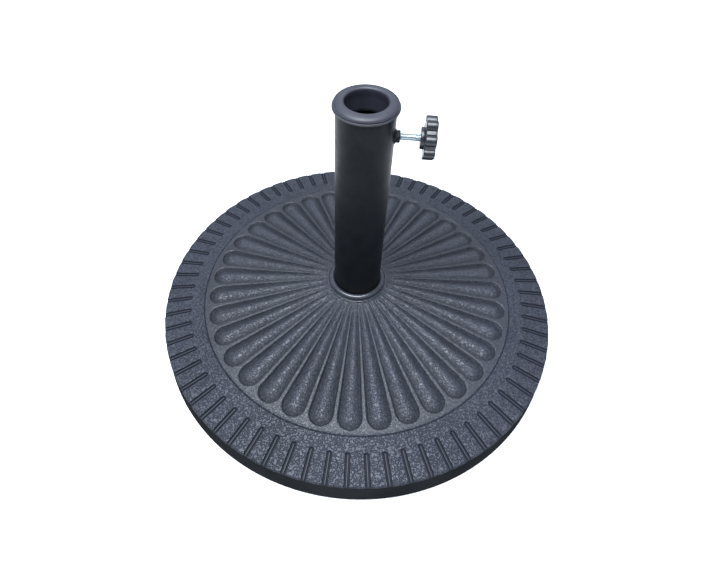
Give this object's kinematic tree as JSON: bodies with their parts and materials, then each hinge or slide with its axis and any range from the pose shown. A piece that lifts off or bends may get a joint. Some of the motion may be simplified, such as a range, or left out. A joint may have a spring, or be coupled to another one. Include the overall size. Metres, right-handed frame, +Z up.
{
  "type": "parasol base",
  "caption": "Round weighted base with a petal relief, an upright tube with a plastic cap, and a screw knob that clamps a parasol's pole.",
  "frame": {"origin": "on the ground, on the tube's axis, at the middle of the base", "axes": "+Z up along the tube, which is the way the pole leaves; +X along the clamp screw towards its knob"},
  "size_m": [0.4852, 0.4852, 0.306],
  "materials": {
    "shell_resin": "satin",
    "concrete": "matte",
    "cover_plastic": "matte",
    "zinc_steel": "satin",
    "rubber": "matte",
    "collar_plastic": "satin",
    "powder_coat": "satin",
    "raw_steel": "satin",
    "cap_plastic": "satin",
    "nylon": "matte",
    "knob_plastic": "satin"
  },
  "bodies": {
    "base": {"base_shell": "shell_resin", "concrete_core": "concrete", "bottom_cover": "cover_plastic", "cover_screws": "zinc_steel", "foot_1": "rubber", "foot_2": "rubber", "foot_3": "rubber", "foot_4": "rubber", "foot_5": "rubber", "foot_6": "rubber", "collar_ring": "collar_plastic", "tube": "powder_coat", "tube_end_plate": "raw_steel", "anchor_nut": "raw_steel", "anchor_bolt": "zinc_steel", "spring_washer": "zinc_steel", "flat_washer": "zinc_steel", "tube_cap": "cap_plastic", "clamp_nut": "powder_coat"},
    "clamp_tip": {"screw_tip": "nylon"},
    "thumbscrew": {"clamp_screw": "zinc_steel", "knob": "knob_plastic"}
  },
  "joints": [
    {"name": "screw_travel", "type": "slide", "parent": "base", "child": "clamp_tip", "axis": [1, 0, 0], "range_m": [-0.0178, 0.00036]},
    {"name": "screw_turn", "type": "hinge", "parent": "clamp_tip", "child": "thumbscrew", "pos_m": [0.04, 0, 0.2712], "axis": [1, 0, 0], "range_deg": [-5040, 100]}
  ],
  "couplings": [
    {"joint": "screw_travel", "follows": "screw_turn", "m_per_rad": 0.00020213}
  ]
}
